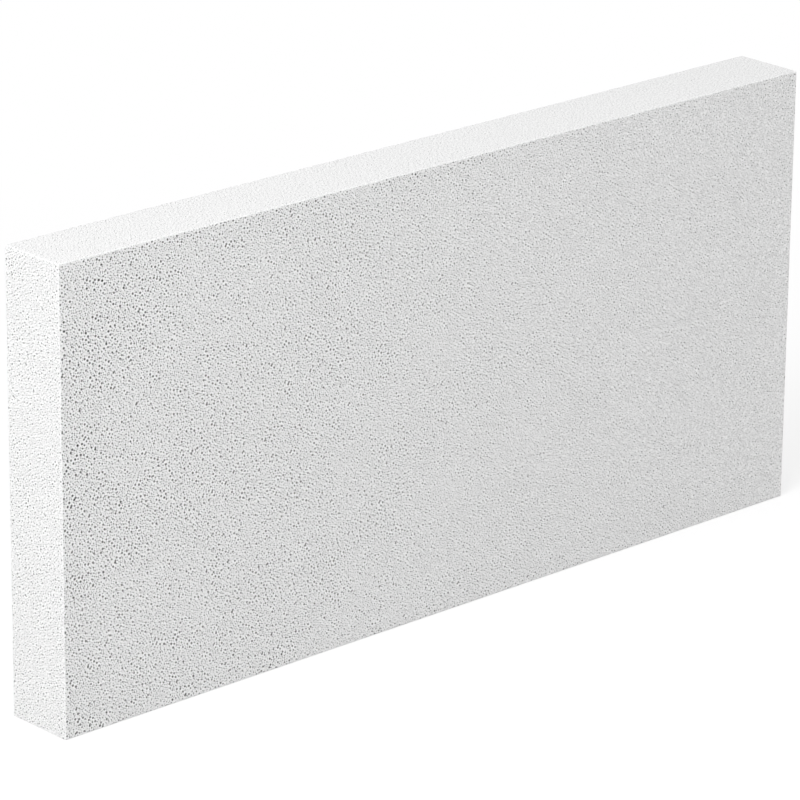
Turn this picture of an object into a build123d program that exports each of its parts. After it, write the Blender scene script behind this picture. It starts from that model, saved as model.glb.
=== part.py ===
"""Aerated concrete partition block: one plain block, wire-cut on all six faces.

The block stands on its bed face, as it is laid in a wall. X runs along the course, Y through
the wall and Z up. The origin is the middle of the bottom bed face. All sizes are millimetres.
"""

import os

from build123d import *

# Work size of the block, as cut
block_length = 625.0  # along the course, end face to end face
block_height = 300.0  # bed face to bed face
block_thickness = 50.0  # through the partition, wall face to wall face

# Edge break that handling leaves on the brittle cut edges
arris_radius = 0.8

# The block: its bed outline drawn on the floor, raised by the height of one course
with BuildPart() as partition_block:
    with BuildSketch(Plane.XY):
        Rectangle(block_length, block_thickness)
    extrude(amount=block_height)
    fillet(partition_block.edges(), radius=arris_radius)

partition_block.part.label = "partition_block"

os.makedirs("parts", exist_ok=True)
export_step(partition_block.part, "parts/partition_block.step")
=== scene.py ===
"""Looks of the aerated concrete partition block.

The block is one piece, wire-cut on all six faces. The cut opens the gas pores of the concrete. The
finish draws every open pore, wide or fine, as a dot of painted shade with a lighter rim, and the mesh
has a pit in the place of some of the wide ones, as many as its triangles allow. Lengths are metres
in the part's own frame: X along the course, Y through the wall and Z up, with the origin in the
middle of the bottom bed face.
"""

import logging
import math
from dataclasses import dataclass
from enum import Enum

import bmesh
import bpy
import numpy as np
from mathutils import Matrix, Vector


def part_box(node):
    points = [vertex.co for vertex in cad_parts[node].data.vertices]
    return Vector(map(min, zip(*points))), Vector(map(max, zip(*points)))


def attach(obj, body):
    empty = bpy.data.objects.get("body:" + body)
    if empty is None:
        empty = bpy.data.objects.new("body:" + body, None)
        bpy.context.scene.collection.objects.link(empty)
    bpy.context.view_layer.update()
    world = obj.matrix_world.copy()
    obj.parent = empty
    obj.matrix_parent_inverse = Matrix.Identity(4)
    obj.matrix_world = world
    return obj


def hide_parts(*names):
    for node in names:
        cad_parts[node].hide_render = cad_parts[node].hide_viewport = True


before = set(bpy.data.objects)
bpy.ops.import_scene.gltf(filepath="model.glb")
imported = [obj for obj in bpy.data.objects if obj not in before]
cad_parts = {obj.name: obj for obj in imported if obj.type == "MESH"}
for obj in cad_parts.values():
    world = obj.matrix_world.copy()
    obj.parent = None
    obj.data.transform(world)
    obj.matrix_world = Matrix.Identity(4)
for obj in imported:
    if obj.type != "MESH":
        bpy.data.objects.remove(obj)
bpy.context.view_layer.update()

MM = 0.001  # metres in a millimetre
BLOCK_NODE = "partition_block"
BAKE_MAP = "OFBake"  # name of the UV map that a texture bake looks for
NOISE_SPAN = (0.3, 0.7)  # where nearly all values of a noise texture lie

log = logging.getLogger("partition_block")

Socket = bpy.types.NodeSocket
Outputs = bpy.types.bpy_prop_collection  # a node's output sockets, by name
Input = Socket | float | int | str | tuple | bpy.types.ID


class CutFace(Enum):
    """The three kinds of cut face, by the axis that they face along."""

    END = 0
    WALL = 1
    BED = 2


class Draw(Enum):
    """The random draws for a cutter, by what is added to the seed."""

    STRAY = 2
    TURN = 3
    STRETCH = 4
    NICK = 5


class NodeSheet:
    """Writes nodes and links into one node tree."""

    def __init__(self, tree: bpy.types.NodeTree) -> None:
        """Keep the tree that the nodes go into."""
        self.tree = tree

    def add(self, kind: str, inputs: dict[str, Input] | None = None, **settings: object) -> bpy.types.Node:
        """Add one node.

        Args:
            kind: Blender's name for the type of node.
            inputs: What feeds the node's sockets, by socket name.
            **settings: The node's own properties.

        Returns:
            The new node.
        """
        node = self.tree.nodes.new(kind)
        for name, value in settings.items():
            setattr(node, name, value)
        for name, value in (inputs or {}).items():
            self.feed(node.inputs[name], value)
        return node

    def feed(self, socket: Socket, value: Input) -> None:
        """Link a socket to another one, or write a plain value on it.

        Args:
            socket: The input to feed.
            value: A socket to link from, or a value.
        """
        if isinstance(value, Socket):
            self.tree.links.new(value, socket)
        else:
            socket.default_value = value

    def math(self, operation: str, *values: Input) -> Socket:
        """Add a Math node.

        Args:
            operation: Blender's name for the operation.
            *values: Its operands, in order.

        Returns:
            The result's socket.
        """
        node = self.add("ShaderNodeMath", operation=operation)
        for socket, value in zip(node.inputs, values):
            self.feed(socket, value)
        return node.outputs["Value"]

    def vector(self, operation: str, *values: Input, out: str = "Vector") -> Socket:
        """Add a Vector Math node.

        Args:
            operation: Blender's name for the operation.
            *values: Its operands, in order.
            out: The output to use.

        Returns:
            The result's socket.
        """
        node = self.add("ShaderNodeVectorMath", operation=operation)
        for socket, value in zip(node.inputs, values):
            self.feed(socket, value)
        return node.outputs[out]

    def scaled(self, vector: Input, factor: Input) -> Socket:
        """Scale a vector.

        Args:
            vector: The vector.
            factor: What it is multiplied by.

        Returns:
            The scaled vector's socket.
        """
        node = self.add("ShaderNodeVectorMath", {"Scale": factor}, operation="SCALE")
        self.feed(node.inputs[0], vector)
        return node.outputs["Vector"]

    def turned(self, vector: Input, angle: float) -> Socket:
        """Turn a vector about the Z axis.

        Args:
            vector: The vector.
            angle: How far it is turned.

        Returns:
            The turned vector's socket.
        """
        turn = {"Vector": vector, "Angle": angle}
        return self.add("ShaderNodeVectorRotate", turn, rotation_type="Z_AXIS").outputs["Vector"]

    def remap(self, value: Input, start: tuple, end: tuple, smooth: bool = True) -> Socket:
        """Map a value from one range to another, and clamp it there.

        Args:
            value: The value to map.
            start: The two ends of its own range.
            end: What they become.
            smooth: Whether the ends are eased.

        Returns:
            The mapped value's socket.
        """
        ranges = {"From Min": start[0], "From Max": start[1], "To Min": end[0], "To Max": end[1]}
        kind = "SMOOTHSTEP" if smooth else "LINEAR"
        node = self.add("ShaderNodeMapRange", {"Value": value, **ranges}, interpolation_type=kind)
        return node.outputs["Result"]

    def random(self, low: Input, high: Input, seed: Input) -> Socket:
        """Draw a random number for each element of a geometry.

        Args:
            low: Least number.
            high: Greatest number.
            seed: Seed of the draw.

        Returns:
            The number's socket.
        """
        node = self.add("FunctionNodeRandomValue", data_type="FLOAT")
        ends = {"Min": low, "Max": high, "Seed": seed}
        for socket in node.inputs:
            if socket.enabled and socket.name in ends:
                self.feed(socket, ends[socket.name])
        return next(socket for socket in node.outputs if socket.enabled)


@dataclass(frozen=True)
class BlockSize:
    """Outer size of the block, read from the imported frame."""

    length: float
    thickness: float
    height: float

    @classmethod
    def of_node(cls, node: str) -> "BlockSize":
        """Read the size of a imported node.

        Args:
            node: The node's name.

        Returns:
            Its size.
        """
        low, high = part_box(node)
        return cls(*(high - low))

    @property
    def half_length(self) -> float:
        """Distance from the middle to an end face."""
        return self.length / 2

    @property
    def half_thickness(self) -> float:
        """Distance from the middle to a wall face."""
        return self.thickness / 2


@dataclass(frozen=True)
class PoreGrading:
    """How wide the pores are: widest on the wall faces at one end, finer at the other end."""

    coarse_until: float = -0.31  # X up to which the pores are widest
    fine_from: float = 0.31  # X from which they are finest
    finest: float = 0.62  # width that is left there, as a share
    on_end: float = 0.76  # share on the end faces
    on_wall: float = 1.0  # share on the wall faces
    on_bed: float = 0.55  # share on the bed faces

    def along(self, sheet: NodeSheet, x: Input) -> Socket:
        """Grade the pores along the block.

        Args:
            sheet: The tree to write into.
            x: Place along the block.

        Returns:
            Their width there, 1 at most.
        """
        return sheet.remap(x, (self.coarse_until, self.fine_from), (1.0, self.finest), smooth=False)

    def shares(self) -> dict[CutFace, float]:
        """Share of the width that shows, by kind of face."""
        return {CutFace.END: self.on_end, CutFace.WALL: self.on_wall, CutFace.BED: self.on_bed}


@dataclass(frozen=True)
class FacePoint:
    """A point of the block in a node tree, with the kind of cut face that it lies nearest to."""

    sheet: NodeSheet
    place: Socket
    parts: tuple[Socket, Socket, Socket]  # the place's X, Y and Z
    on_end: Socket
    on_bed: Socket
    to_arris: Socket  # distance to the nearest arris of the face

    @classmethod
    def at(cls, sheet: NodeSheet, size: BlockSize, place: Socket) -> "FacePoint":
        """Compare the depths of a place below the three kinds of face.

        Args:
            sheet: The tree to write into.
            size: Size of the block.
            place: Place in the block.

        Returns:
            The point.
        """
        x, y, z = sheet.add("ShaderNodeSeparateXYZ", {"Vector": place}).outputs
        to_end = sheet.math("SUBTRACT", size.half_length, sheet.math("ABSOLUTE", x))
        to_wall = sheet.math("SUBTRACT", size.half_thickness, sheet.math("ABSOLUTE", y))
        to_bed = sheet.math("MINIMUM", z, sheet.math("SUBTRACT", size.height, z))
        nearer = sheet.math("MINIMUM", to_end, to_wall)
        farther = sheet.math("MAXIMUM", to_end, to_wall)
        on_end = sheet.math("LESS_THAN", to_end, to_wall)
        on_bed = sheet.math("LESS_THAN", to_bed, nearer)
        to_arris = sheet.math("MAXIMUM", nearer, sheet.math("MINIMUM", farther, to_bed))
        return cls(sheet, place, (x, y, z), on_end, on_bed, to_arris)

    def choose(self, end: Input, wall: Input, bed: Input) -> Socket:
        """Pick the value that belongs to the face.

        Args:
            end: Value on the end faces.
            wall: Value on the wall faces.
            bed: Value on the bed faces.

        Returns:
            The picked value's socket.
        """
        upright = self.between(self.on_end, end, wall)
        return self.between(self.on_bed, bed, upright)

    def between(self, test: Socket, yes: Input, no: Input) -> Socket:
        """Pick one of two values.

        Args:
            test: 1 for the first value, 0 for the second.
            yes: The first value.
            no: The second value.

        Returns:
            The picked value's socket.
        """
        node = self.sheet.add("ShaderNodeMix", data_type="FLOAT")
        shown = {socket.name: socket for socket in node.inputs if socket.enabled}
        for name, value in {"Factor": test, "A": no, "B": yes}.items():
            self.sheet.feed(shown[name], value)
        return next(socket for socket in node.outputs if socket.enabled)

    def in_block(self, move: Socket) -> Socket:
        """Turn a move on the face into a move in the block.

        Args:
            move: The move along the face's own two directions.

        Returns:
            The same move along X, Y and Z.
        """
        across, up, _ = self.sheet.add("ShaderNodeSeparateXYZ", {"Vector": move}).outputs
        parts = {
            "X": self.choose(0.0, across, across),
            "Y": self.choose(across, 0.0, up),
            "Z": self.choose(up, up, 0.0),
        }
        return self.sheet.add("ShaderNodeCombineXYZ", parts).outputs["Vector"]


@dataclass(frozen=True)
class PoreField:
    """Open pores of the cut faces: one in each cell of an uneven lattice, no two alike."""

    size: BlockSize
    grading: PoreGrading
    spacing: float  # between the cells
    radius: tuple[float, float]  # least and largest, where the pores are widest
    shade: tuple[float, float]  # least and most of the tone that a pore's painted shade takes away
    rarity: float  # how much rarer large pores are than small ones
    turn: float  # angle of the lattice on each face
    jitter: float = 0.75  # 0 puts the pores on a grid, 1 moves them by up to a whole spacing
    core: float = 0.78  # where a pore's painted shade is darkest, as a share of its radius
    brim: float = 2.1  # how far its light rim reaches, in radii
    arris_strip: tuple[float, float] = (0.2 * MM, 0.9 * MM)  # how far off an arris pores begin, and are full
    cloud_scale: float = 16.0  # clouds of finer and coarser pores for each metre
    clouds: tuple[float, float] = (0.93, 1.06)  # width of the pores in them, as a share
    bends: tuple[tuple[float, float], ...] = ((60.0, 2.0 * MM), (800.0, 0.25 * MM))  # waves a metre, reach
    face_shifts: tuple[float, float, float] = (2.9, 5.3, 7.7)  # where ends, walls and beds lie in the lattice
    side_shift: float = 0.83  # and how far the two faces of a kind lie to either side of that

    def width(self, point: FacePoint) -> Socket:
        """Find how wide the pores are at a point.

        Args:
            point: The point.

        Returns:
            The width's socket, near 1 where the pores are widest.
        """
        sheet = point.sheet
        shares = self.grading.shares()
        share = point.choose(shares[CutFace.END], shares[CutFace.WALL], shares[CutFace.BED])
        graded = sheet.math("MULTIPLY", share, self.grading.along(sheet, point.parts[0]))
        waves = {"Vector": point.place, "Scale": self.cloud_scale, "Detail": 2.0}
        noise = sheet.add("ShaderNodeTexNoise", waves).outputs["Fac"]
        return sheet.math("MULTIPLY", graded, sheet.remap(noise, NOISE_SPAN, self.clouds))

    def spot(self, point: FacePoint) -> Socket:
        """Find a point's place in the lattice of its own face, which is slightly bent.

        Args:
            point: The point.

        Returns:
            The place's socket.
        """
        sheet = point.sheet
        x, y, z = point.parts
        above = sheet.math("SUBTRACT", z, self.size.height / 2)
        side = sheet.math("SIGN", point.choose(x, y, above))
        shift = sheet.math("MULTIPLY", side, self.side_shift)
        apart = sheet.math("ADD", point.choose(*self.face_shifts), shift)
        across = sheet.math("ADD", point.choose(y, x, x), apart)
        flat = {"X": across, "Y": point.choose(z, z, y)}
        spot = sheet.add("ShaderNodeCombineXYZ", flat).outputs["Vector"]
        for scale, reach in self.bends:
            waves = {"Vector": point.place, "Scale": scale, "Detail": 0.0}
            noise = sheet.add("ShaderNodeTexNoise", waves).outputs["Color"]
            bend = sheet.scaled(sheet.vector("SUBTRACT", noise, (0.5, 0.5, 0.5)), reach)
            spot = sheet.vector("ADD", spot, bend)
        return sheet.turned(spot, self.turn)

    def cell(self, sheet: NodeSheet, spot: Socket) -> bpy.types.Node:
        """Find the cell of the lattice that a place belongs to.

        Args:
            sheet: The tree to write into.
            spot: Place in the lattice.

        Returns:
            The node that gives the cell's pore: its middle, its distance and its own random draws.
        """
        lattice = {"Vector": spot, "Scale": 1.0 / self.spacing, "Randomness": self.jitter}
        return sheet.add("ShaderNodeTexVoronoi", lattice, voronoi_dimensions="2D")

    def draws(self, sheet: NodeSheet, cell: bpy.types.Node) -> Outputs:
        """Split a cell's colour into the pore's own three random numbers, X, Y and Z, from 0 to 1."""
        return sheet.add("ShaderNodeSeparateXYZ", {"Vector": cell.outputs["Color"]}).outputs

    def reach(self, point: FacePoint, cell: bpy.types.Node) -> Socket:
        """Find the radius of a pore.

        Args:
            point: A point in its cell.
            cell: Its cell.

        Returns:
            The radius in metres.
        """
        sheet = point.sheet
        draw = sheet.math("POWER", self.draws(sheet, cell)["X"], self.rarity)
        own = sheet.remap(draw, (0.0, 1.0), self.radius, smooth=False)
        return sheet.math("MULTIPLY", own, self.width(point))

    def middle(self, sheet: NodeSheet, place: Socket) -> Socket:
        """Find the middle of the pore that is nearest to a place on a face.

        Args:
            sheet: The tree to write into.
            place: Place in the block.

        Returns:
            The middle's place, closed in on in three steps because the lattice is bent.
        """
        for _ in range(3):
            point = FacePoint.at(sheet, self.size, place)
            spot = self.spot(point)
            move = sheet.vector("SUBTRACT", self.cell(sheet, spot).outputs["Position"], spot)
            place = sheet.vector("ADD", place, point.in_block(sheet.turned(move, -self.turn)))
        return place

    def draw(self, point: FacePoint) -> tuple[Socket, Socket, Socket]:
        """Draw the pores.

        Args:
            point: The shaded point.

        Returns:
            The pores' shape, 1 in the middle of one; the same with their rims; and each one's painted shade.
        """
        sheet = point.sheet
        cell = self.cell(sheet, self.spot(point))
        edge = self.reach(point, cell)
        away = sheet.math("MULTIPLY", cell.outputs["Distance"], self.spacing)
        shown = sheet.remap(point.to_arris, self.arris_strip, (0.0, 1.0))
        dots = sheet.remap(away, (sheet.math("MULTIPLY", edge, self.core), edge), (shown, 0.0))
        rims = sheet.remap(away, (edge, sheet.math("MULTIPLY", edge, self.brim)), (shown, 0.0))
        # painted shade: how much of the tone each pore takes away, in place of the shade inside it
        painted_shade = sheet.remap(self.draws(sheet, cell)["Y"], (0.0, 1.0), self.shade, smooth=False)
        return dots, rims, painted_shade


@dataclass(frozen=True)
class AeratedConcrete:
    """Finish of the cut concrete: matt, nearly white, with painted shade in its open pores."""

    wide: PoreField
    fine: PoreField
    body: float = 0.76  # reflectance of the solid concrete
    cleanest: float = 0.885  # the most that it reflects, on the rims of the pores
    rim_gain: float = 0.35  # how much lighter the rims are than the body
    grain_scale: float = 900.0  # sand grains for each metre
    grain_widths: tuple[float, float] = (0.4, 1.0)  # width of the pores where they are fine, and widest
    grain_tone: tuple[float, float] = (1.05, 0.5)  # how far grains differ in tone there
    relief: float = 0.2  # how strongly the drawn pores tilt the surface
    depth: float = 0.3 * MM  # and how deep they seem
    roughness: float = 0.93
    specular: float = 0.2

    def make(self) -> bpy.types.Material:
        """Build the material.

        Returns:
            The finished material.
        """
        material = bpy.data.materials.new("aerated_concrete")
        material.use_nodes = True
        sheet = NodeSheet(material.node_tree)
        shader = material.node_tree.nodes["Principled BSDF"]
        place = sheet.add("ShaderNodeTexCoord").outputs["Object"]
        point = FacePoint.at(sheet, self.wide.size, place)
        # painted shade in the wide and the fine pores, with their lighter rims
        dots, rims, painted_shade = self.wide.draw(point)
        wide = self.change(sheet, dots, rims, painted_shade)
        fine = self.change(sheet, *self.fine.draw(point))
        between = sheet.math("MULTIPLY", fine, sheet.math("SUBTRACT", 1.0, rims))
        pored = sheet.math("ADD", sheet.math("ADD", wide, between), 1.0)
        grained = sheet.math("MULTIPLY", pored, self.grain(point))
        tone = sheet.math("MINIMUM", sheet.math("MULTIPLY", grained, self.body), self.cleanest)
        colour = sheet.add("ShaderNodeCombineColor", {"Red": tone, "Green": tone, "Blue": tone})
        sheet.feed(shader.inputs["Base Color"], colour.outputs["Color"])
        height = sheet.math("SUBTRACT", 1.0, dots)
        relief = {"Strength": self.relief, "Distance": self.depth, "Height": height}
        bump = sheet.add("ShaderNodeBump", relief)
        sheet.feed(shader.inputs["Normal"], bump.outputs["Normal"])
        shader.inputs["Roughness"].default_value = self.roughness
        shader.inputs["Specular IOR Level"].default_value = self.specular
        return material

    def change(self, sheet: NodeSheet, dots: Socket, rims: Socket, painted_shade: Socket) -> Socket:
        """Find how far pores change the tone: painted shade inside them, and lighter rims round them.

        Args:
            sheet: The tree to write into.
            dots: The pores' shape.
            rims: The same with their rims.
            painted_shade: How much painted shade each pore holds.

        Returns:
            The change, as a share of the tone.
        """
        lit = sheet.math("MULTIPLY", sheet.math("SUBTRACT", rims, dots), self.rim_gain)
        # painted shade: the pore takes tone away in place of the shade inside it, and its rim is lighter
        return sheet.math("MULTIPLY", sheet.math("SUBTRACT", lit, dots), painted_shade)

    def grain(self, point: FacePoint) -> Socket:
        """Vary the tone of the cut from grain to grain, most where the pores are fine.

        Args:
            point: The shaded point.

        Returns:
            A factor near 1.
        """
        sheet = point.sheet
        waves = {"Vector": point.place, "Scale": self.grain_scale, "Detail": 1.0}
        noise = sheet.math("SUBTRACT", sheet.add("ShaderNodeTexNoise", waves).outputs["Fac"], 0.5)
        strength = sheet.remap(self.wide.width(point), self.grain_widths, self.grain_tone, smooth=False)
        return sheet.math("MULTIPLY_ADD", noise, strength, 1.0)


@dataclass
class PoredBlock:
    """The block itself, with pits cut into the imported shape."""

    size: BlockSize
    pores: PoreField  # the pores that some pits take the places of
    weld: float = 0.001 * MM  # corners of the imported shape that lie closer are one
    flat_within: float = math.radians(0.05)  # faces that differ less in angle are one
    cell: float = 12.5 * MM  # the faces are divided into cells of about this size before they are cut
    pit_spacing: float = 2.0 * MM  # least distance between the places where pores are looked for
    pit_density: float = 60_000.0  # such places for each square metre, where they are densest
    pit_widths: tuple[float, float] = (0.72, 1.0)  # widths of pores at which pits are rarest, and densest
    pit_shares: tuple[float, float] = (0.02, 1.0)  # share of the density at those widths
    same_pore: float = 0.1 * MM  # places that have moved closer than this found the same pore
    pit_lift: float = 0.3  # how far the ball that cuts a pit is raised above the face, in radii
    arris_margin: float = 1.6 * MM  # strip along the arrises that is left without pits
    nick_spacing: float = 22.0 * MM  # along the arrises
    least_nick: float = 0.25 * MM  # radius
    largest_nick: float = 0.5 * MM  # radius
    ball_sides: int = 6  # of the ball that cuts a pit or a nick
    ball_rings: int = 4
    stretch: tuple[float, float] = (0.85, 1.15)  # how far its width is squeezed or stretched
    sliver: float = 0.005 * MM  # edges shorter than this are closed up after the cut
    facing: float = 0.9999  # how squarely a face of the mesh has to face along an axis to be flat
    map_gap: float = 4.0 * MM  # between the six faces on the UV map
    seed: int = 11

    def build(self, material: bpy.types.Material) -> bpy.types.Object:
        """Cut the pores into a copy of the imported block.

        Args:
            material: The finish that it wears.

        Returns:
            The finished piece, at the origin.
        """
        blank = self.blank()
        modifier = blank.modifiers.new("open_pores", "NODES")
        modifier.node_group = self.pore_tree()
        self.set_inputs(modifier, material)
        depsgraph = bpy.context.evaluated_depsgraph_get()
        mesh = bpy.data.meshes.new_from_object(blank.evaluated_get(depsgraph))
        blank.modifiers.remove(modifier)
        blank.data = mesh
        mesh.name = blank.name
        self.clean(mesh)
        self.shade(mesh)
        self.lay_out(mesh)
        return blank

    def blank(self) -> bpy.types.Object:
        """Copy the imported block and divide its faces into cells.

        Returns:
            The uncut piece.
        """
        sheet = bmesh.new()
        sheet.from_mesh(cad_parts[BLOCK_NODE].data)
        bmesh.ops.remove_doubles(sheet, verts=sheet.verts, dist=self.weld)
        bmesh.ops.dissolve_limit(sheet, angle_limit=self.flat_within, verts=sheet.verts, edges=sheet.edges)
        spans = ((0, -self.size.half_length, self.size.length), (2, 0.0, self.size.height))
        for axis, start, span in spans:
            count = round(span / self.cell)
            for step in range(1, count):
                point = [0.0, 0.0, 0.0]
                point[axis] = start + span * step / count
                normal = [0.0, 0.0, 0.0]
                normal[axis] = 1.0
                everything = [*sheet.verts, *sheet.edges, *sheet.faces]
                bmesh.ops.bisect_plane(sheet, geom=everything, plane_co=point, plane_no=normal)
        mesh = bpy.data.meshes.new("pored_block")
        sheet.to_mesh(mesh)
        sheet.free()
        carried = [item.name for item in mesh.attributes if not (item.is_required or item.is_internal)]
        for name in carried:
            mesh.attributes.remove(mesh.attributes[name])
        piece = bpy.data.objects.new("pored_block", mesh)
        bpy.context.scene.collection.objects.link(piece)
        return piece

    def set_inputs(self, modifier: bpy.types.NodesModifier, material: bpy.types.Material) -> None:
        """Give the tree its sizes.

        Args:
            modifier: The modifier that holds the tree.
            material: The finish of the cut block.
        """
        values = {
            "Pit Spacing": self.pit_spacing,
            "Pit Density": self.pit_density,
            "Arris Margin": self.arris_margin,
            "Nick Spacing": self.nick_spacing,
            "Least Nick": self.least_nick,
            "Largest Nick": self.largest_nick,
            "Seed": self.seed,
            "Finish": material,
        }
        for item in modifier.node_group.interface.items_tree:
            if item.name in values:
                modifier[item.identifier] = values[item.name]

    def pore_tree(self) -> bpy.types.NodeTree:
        """Build the tree that cuts the pores.

        Returns:
            The Geometry Nodes tree.
        """
        tree = bpy.data.node_groups.new("open_pores", "GeometryNodeTree")
        kinds = {"Geometry": "Geometry", "Seed": "Int", "Finish": "Material"}
        names = ("Geometry", "Pit Spacing", "Pit Density", "Arris Margin")
        for name in (*names, "Nick Spacing", "Least Nick", "Largest Nick", "Seed", "Finish"):
            kind = "NodeSocket" + kinds.get(name, "Float")
            tree.interface.new_socket(name, in_out="INPUT", socket_type=kind)
        tree.interface.new_socket("Geometry", in_out="OUTPUT", socket_type="NodeSocketGeometry")
        sheet = NodeSheet(tree)
        given = sheet.add("NodeGroupInput").outputs
        cut = sheet.add("GeometryNodeMeshBoolean", operation="DIFFERENCE", solver="MANIFOLD")
        sheet.feed(cut.inputs["Mesh 1"], given["Geometry"])
        sheet.feed(cut.inputs["Mesh 2"], self.pits(sheet, given))
        sheet.feed(cut.inputs["Mesh 2"], self.nicks(sheet, given))
        solid = sheet.add("GeometryNodeRealizeInstances", {"Geometry": cut.outputs["Mesh"]})
        worn = {"Geometry": solid.outputs["Geometry"], "Material": given["Finish"]}
        dressed = sheet.add("GeometryNodeSetMaterial", worn)
        sheet.add("NodeGroupOutput", {"Geometry": dressed.outputs["Geometry"]})
        return tree

    def cutter(self, sheet: NodeSheet, lift: float) -> Socket:
        """Make the ball that cuts one hollow, of unit radius and few faces.

        Args:
            sheet: The tree to write into.
            lift: How far it is raised along its own axis.

        Returns:
            The ball.
        """
        rounds = {"Segments": self.ball_sides, "Rings": self.ball_rings, "Radius": 1.0}
        ball = sheet.add("GeometryNodeMeshUVSphere", rounds)
        raised = {"Geometry": ball.outputs["Mesh"], "Offset": (0.0, 0.0, lift)}
        return sheet.add("GeometryNodeSetPosition", raised).outputs["Geometry"]

    def pits(self, sheet: NodeSheet, given: Outputs) -> Socket:
        """Put cutters in the places of some of the pores, most where the pores are widest.

        Args:
            sheet: The tree to write into.
            given: The tree's inputs.

        Returns:
            The cutters, as instances.
        """
        place = sheet.add("GeometryNodeInputPosition").outputs["Position"]
        point = FacePoint.at(sheet, self.size, place)
        density = sheet.remap(self.pores.width(point), self.pit_widths, self.pit_shares)
        scatter = sheet.add(
            "GeometryNodeDistributePointsOnFaces",
            {
                "Mesh": given["Geometry"],
                "Distance Min": given["Pit Spacing"],
                "Density Max": given["Pit Density"],
                "Density Factor": density,
                "Seed": given["Seed"],
            },
            distribute_method="POISSON",
        )
        moves = {"Geometry": scatter.outputs["Points"], "Position": self.pores.middle(sheet, place)}
        moved = sheet.add("GeometryNodeSetPosition", moves).outputs["Geometry"]
        doubles = {"Geometry": moved, "Distance": self.same_pore}
        single = sheet.add("GeometryNodeMergeByDistance", doubles).outputs["Geometry"]
        cell = self.pores.cell(sheet, self.pores.spot(point))
        outer = sheet.math("LESS_THAN", point.to_arris, given["Arris Margin"])
        strip = {"Geometry": single, "Selection": outer}
        inside = sheet.add("GeometryNodeDeleteGeometry", strip, domain="POINT").outputs["Geometry"]
        mouth = self.pores.reach(point, cell)
        radius = sheet.math("DIVIDE", mouth, math.sqrt(1.0 - self.pit_lift**2))
        where = {"Points": inside, "Instance": self.cutter(sheet, self.pit_lift)}
        return self.place_cutters(sheet, given, where, radius, scatter.outputs["Rotation"])

    def nicks(self, sheet: NodeSheet, given: Outputs) -> Socket:
        """Scatter cutters along the arrises, where the brittle edge has crumbled.

        Args:
            sheet: The tree to write into.
            given: The tree's inputs.

        Returns:
            The cutters, as instances.
        """
        outer = (self.size.length, self.size.thickness, self.size.height)
        box = sheet.add("GeometryNodeMeshCube", {"Size": outer}).outputs["Mesh"]
        up = (0.0, 0.0, self.size.height / 2)
        raised = sheet.add("GeometryNodeSetPosition", {"Geometry": box, "Offset": up}).outputs["Geometry"]
        lines = sheet.add("GeometryNodeMeshToCurve", {"Mesh": raised}).outputs["Curve"]
        along = {"Curve": lines, "Length": given["Nick Spacing"]}
        dots = sheet.add("GeometryNodeCurveToPoints", along, mode="LENGTH").outputs
        part = self.drawn(sheet, given, Draw.STRAY, -0.5, 0.5)
        stray = sheet.math("MULTIPLY", given["Nick Spacing"], part)
        jump = {"Geometry": dots["Points"], "Offset": sheet.scaled(dots["Tangent"], stray)}
        moved = sheet.add("GeometryNodeSetPosition", jump).outputs["Geometry"]
        part = sheet.math("POWER", self.drawn(sheet, given, Draw.NICK, 0.0, 1.0), 2.0)
        ends = (given["Least Nick"], given["Largest Nick"])
        radius = sheet.remap(part, (0.0, 1.0), ends, smooth=False)
        where = {"Points": moved, "Instance": self.cutter(sheet, 0.0)}
        return self.place_cutters(sheet, given, where, radius)

    def drawn(self, sheet: NodeSheet, given: Outputs, draw: Draw, low: float, high: float) -> Socket:
        """Draw a random number for each cutter.

        Args:
            sheet: The tree to write into.
            given: The tree's inputs.
            draw: What the number is for.
            low: Least number.
            high: Greatest number.

        Returns:
            The number's socket.
        """
        return sheet.random(low, high, sheet.math("ADD", given["Seed"], draw.value))

    def place_cutters(
        self,
        sheet: NodeSheet,
        given: Outputs,
        where: dict[str, Socket],
        radius: Socket,
        facing: Socket | None = None,
    ) -> Socket:
        """Put a cutter on each point, turned and stretched at random.

        Args:
            sheet: The tree to write into.
            given: The tree's inputs.
            where: The points and the cutter.
            radius: Radius of each cutter.
            facing: Rotation that stands a cutter on its face, or nothing.

        Returns:
            The cutters, as instances.
        """
        angle = self.drawn(sheet, given, Draw.TURN, 0.0, math.tau)
        turn = sheet.add("ShaderNodeCombineXYZ", {"Z": angle}).outputs["Vector"]
        spin = sheet.add("FunctionNodeEulerToRotation", {"Euler": turn}).outputs["Rotation"]
        if facing is not None:
            both = {"Rotation": facing, "Rotate By": spin}
            spin = sheet.add("FunctionNodeRotateRotation", both, rotation_space="LOCAL").outputs["Rotation"]
        wide = sheet.math("MULTIPLY", radius, self.drawn(sheet, given, Draw.STRETCH, *self.stretch))
        scale = sheet.add("ShaderNodeCombineXYZ", {"X": wide, "Y": radius, "Z": radius}).outputs["Vector"]
        turned = {**where, "Rotation": spin, "Scale": scale}
        return sheet.add("GeometryNodeInstanceOnPoints", turned).outputs["Instances"]

    def clean(self, mesh: bpy.types.Mesh) -> None:
        """Close up the slivers that the cutting leaves.

        Args:
            mesh: The cut block.
        """
        sheet = bmesh.new()
        sheet.from_mesh(mesh)
        bmesh.ops.triangulate(sheet, faces=[face for face in sheet.faces if len(face.verts) > 4])
        bmesh.ops.remove_doubles(sheet, verts=sheet.verts, dist=self.sliver)
        bmesh.ops.dissolve_degenerate(sheet, edges=sheet.edges, dist=self.sliver)
        sheet.to_mesh(mesh)
        sheet.free()

    def shade(self, mesh: bpy.types.Mesh) -> None:
        """Shade the pits and arrises smooth, and the cut faces flat.

        Args:
            mesh: The cut block.
        """
        normals = np.empty(len(mesh.polygons) * 3, np.float32)
        mesh.polygons.foreach_get("normal", normals)
        squarely = np.abs(normals.reshape(-1, 3)).max(1)
        mesh.polygons.foreach_set("use_smooth", squarely < self.facing)

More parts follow.
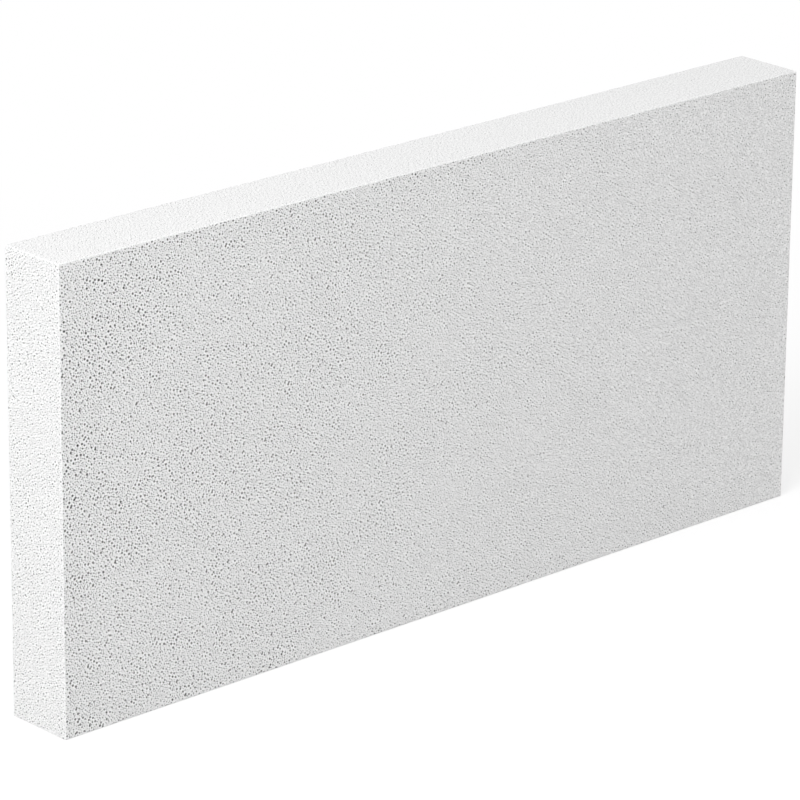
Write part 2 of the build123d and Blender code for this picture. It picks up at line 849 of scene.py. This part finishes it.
    def lay_out(self, mesh: bpy.types.Mesh) -> None:
        """Lay the six faces side by side on one UV map.

        Args:
            mesh: The cut block.
        """
        gap = self.map_gap
        size = self.size
        side = 2 * size.height + 2 * size.thickness + 5 * gap
        places = np.empty(len(mesh.vertices) * 3, np.float32)
        mesh.vertices.foreach_get("co", places)
        places = places.reshape(-1, 3)
        corners = np.empty(len(mesh.loops), np.int32)
        mesh.loops.foreach_get("vertex_index", corners)
        counts = np.empty(len(mesh.polygons), np.int32)
        mesh.polygons.foreach_get("loop_total", counts)
        centres = np.empty(len(mesh.polygons) * 3, np.float32)
        mesh.polygons.foreach_get("center", centres)
        middle = np.array((0.0, 0.0, size.height / 2))
        half = np.array((size.half_length, size.half_thickness, size.height / 2))
        apart = centres.reshape(-1, 3) - middle
        axis = np.argmin(half - np.abs(apart), axis=1)
        ahead = apart[np.arange(len(axis)), axis] > 0
        x, y, z = (places[corners] - middle + half).T
        long, thick, high = 2 * half
        rows = (gap, 2 * gap + high, 3 * gap + 2 * high, 4 * gap + 2 * high + thick)
        far = 2 * gap + long
        spots = {
            (CutFace.WALL, False): (x + gap, z + rows[0]),
            (CutFace.WALL, True): (long - x + gap, z + rows[1]),
            (CutFace.BED, False): (x + gap, thick - y + rows[2]),
            (CutFace.BED, True): (x + gap, y + rows[3]),
            (CutFace.END, False): (thick - y + far, z + rows[0]),
            (CutFace.END, True): (y + far, z + rows[1]),
        }
        where = np.zeros((len(corners), 2), np.float32)
        for (kind, front), spot in spots.items():
            chosen = np.repeat((axis == kind.value) & (ahead == front), counts)
            where[chosen] = np.stack(spot, axis=1)[chosen] / side
        mesh.uv_layers.new(name=BAKE_MAP).uv.foreach_set("vector", where.ravel())

    def dress(self, piece: bpy.types.Object) -> None:
        """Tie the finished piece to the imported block.

        Args:
            piece: The cut block.
        """
        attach(piece, "root")
        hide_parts(BLOCK_NODE)
        log.info("%s: %d faces", piece.name, len(piece.data.polygons))


@dataclass(frozen=True)
class SoftLamp:
    """A square lamp of the studio, aimed at the block."""

    name: str
    place: tuple[float, float, float]
    aim: tuple[float, float, float]
    side: float
    power: float

    def hang(self) -> None:
        """Add the lamp to the scene."""
        lamp = bpy.data.lights.new(self.name, "AREA")
        lamp.size = self.side
        lamp.energy = self.power
        holder = bpy.data.objects.new(self.name, lamp)
        holder.location = self.place
        holder.rotation_euler = (Vector(self.aim) - Vector(self.place)).to_track_quat("-Z", "Y").to_euler()
        bpy.context.scene.collection.objects.link(holder)


@dataclass
class Studio:
    """A white floor, white surroundings and soft lamps."""

    floor_side: float = 12.0
    floor_tone: float = 0.95  # reflectance that shows
    floor_bounce: float = 0.55  # reflectance that lights the block from below
    plain_share: float = 0.6  # how much of the floor's look is plain white near the block
    shadow_reach: tuple[float, float] = (0.45, 0.95)  # where it starts to turn all plain white, and is
    sky: float = 0.77  # strength of the light from all round
    lamps: tuple[SoftLamp, ...] = (
        SoftLamp("key_lamp", (-1.9, -0.75, 2.45), (0.0, 0.0, 0.15), 1.4, 37.7),
        SoftLamp("end_lamp", (-2.4, -0.5, 1.0), (0.0, 0.0, 0.15), 1.2, 14.6),
        SoftLamp("front_lamp", (-0.6, -2.6, 1.4), (0.0, 0.0, 0.15), 1.6, 10.3),
    )

    def build(self) -> None:
        """Lay the floor, hang the lamps and light the surroundings."""
        self.lay_floor()
        self.light_surroundings()
        for lamp in self.lamps:
            lamp.hang()
        log.info("studio: floor and %d lamp(s)", len(self.lamps))

    def seen(self, sheet: NodeSheet) -> Socket:
        """Tell the rays that show the background from the rays that light the block.

        Args:
            sheet: The tree to write into.

        Returns:
            1 for rays from the camera, and for mirrored and refracted ones.
        """
        path = sheet.add("ShaderNodeLightPath").outputs
        through = sheet.math("MAXIMUM", path["Is Glossy Ray"], path["Is Transmission Ray"])
        return sheet.math("MAXIMUM", path["Is Camera Ray"], through)

    def lay_floor(self) -> None:
        """Lay a plain white floor under the block."""
        half = self.floor_side / 2
        mesh = bpy.data.meshes.new("floor")
        corners = [(-half, -half, 0), (half, -half, 0), (half, half, 0), (-half, half, 0)]
        mesh.from_pydata(corners, [], [(0, 1, 2, 3)])
        floor = bpy.data.objects.new("floor", mesh)
        bpy.context.scene.collection.objects.link(floor)
        material = bpy.data.materials.new("floor_white")
        material.use_nodes = True
        sheet = NodeSheet(material.node_tree)
        shader = material.node_tree.nodes["Principled BSDF"]
        seen = self.seen(sheet)
        tone = sheet.remap(seen, (0.0, 1.0), (self.floor_bounce, self.floor_tone), smooth=False)
        colour = sheet.add("ShaderNodeCombineColor", {"Red": tone, "Green": tone, "Blue": tone})
        sheet.feed(shader.inputs["Base Color"], colour.outputs["Color"])
        shader.inputs["Roughness"].default_value = 1.0
        shader.inputs["Specular IOR Level"].default_value = 0.0
        white = sheet.add("ShaderNodeEmission", {"Strength": 1.0})
        away = sheet.vector("LENGTH", sheet.add("ShaderNodeTexCoord").outputs["Object"], out="Value")
        plain = sheet.remap(away, self.shadow_reach, (self.plain_share, 1.0))
        mixed = sheet.add("ShaderNodeMixShader", {"Fac": sheet.math("MULTIPLY", seen, plain)})
        sheet.feed(mixed.inputs[1], shader.outputs["BSDF"])
        sheet.feed(mixed.inputs[2], white.outputs["Emission"])
        sheet.feed(material.node_tree.nodes["Material Output"].inputs["Surface"], mixed.outputs["Shader"])
        mesh.materials.append(material)

    def light_surroundings(self) -> None:
        """Light the block from all round, and show white behind it."""
        world = bpy.data.worlds.new("studio_white")
        world.use_nodes = True
        bpy.context.scene.world = world
        sheet = NodeSheet(world.node_tree)
        light = world.node_tree.nodes["Background"]
        light.inputs["Color"].default_value = (1.0, 1.0, 1.0, 1.0)
        strength = sheet.remap(self.seen(sheet), (0.0, 1.0), (self.sky, 1.0), smooth=False)
        sheet.feed(light.inputs["Strength"], strength)


@dataclass(frozen=True)
class PhotoCamera:
    """The camera at the photograph's viewing angle."""

    azimuth: float = -42.829  # degrees; 0 looks along +Y
    elevation: float = 19.672  # degrees above the floor
    roll: float = 0.528  # degrees
    distance: float = 2.889
    aim: tuple[float, float, float] = (-0.1522, -0.1439, 0.2109)
    lens: float = 220.80  # millimetres on a 36 mm sensor

    def build(self) -> None:
        """Put the camera in place."""
        turn = math.radians(self.azimuth)
        rise = math.radians(self.elevation)
        back = Vector((math.sin(turn) * math.cos(rise), -math.cos(turn) * math.cos(rise), math.sin(rise)))
        right = Vector((math.cos(turn), math.sin(turn), 0.0))
        upright = Matrix((right, back.cross(right), back)).transposed()
        tilt = Matrix.Rotation(math.radians(self.roll), 3, "Z")
        data = bpy.data.cameras.new("photo_camera")
        data.sensor_width = 36.0
        data.lens = self.lens
        camera = bpy.data.objects.new("photo_camera", data)
        place = Vector(self.aim) + self.distance * back
        camera.matrix_world = Matrix.Translation(place) @ (upright @ tilt).to_4x4()
        bpy.context.scene.collection.objects.link(camera)
        bpy.context.scene.camera = camera
        log.info("camera: %.1f mm lens", self.lens)


def main() -> None:
    """Build the block, the studio and the camera."""
    logging.basicConfig(level=logging.INFO, format="%(name)s %(message)s")
    bpy.context.scene.view_settings.view_transform = "Standard"
    size = BlockSize.of_node(BLOCK_NODE)
    grading = PoreGrading()
    wide = PoreField(
        size,
        grading,
        spacing=2.65 * MM,
        radius=(0.43 * MM, 0.92 * MM),
        shade=(0.84, 1.0),
        rarity=2.0,
        turn=math.radians(33),
    )
    fine = PoreField(
        size,
        grading,
        spacing=1.6 * MM,
        radius=(0.29 * MM, 0.49 * MM),
        shade=(0.75, 1.0),
        rarity=1.0,
        turn=math.radians(19),
    )
    block = PoredBlock(size, wide)
    block.dress(block.build(AeratedConcrete(wide, fine).make()))
    Studio().build()
    PhotoCamera().build()


if __name__ == "__main__":
    main()
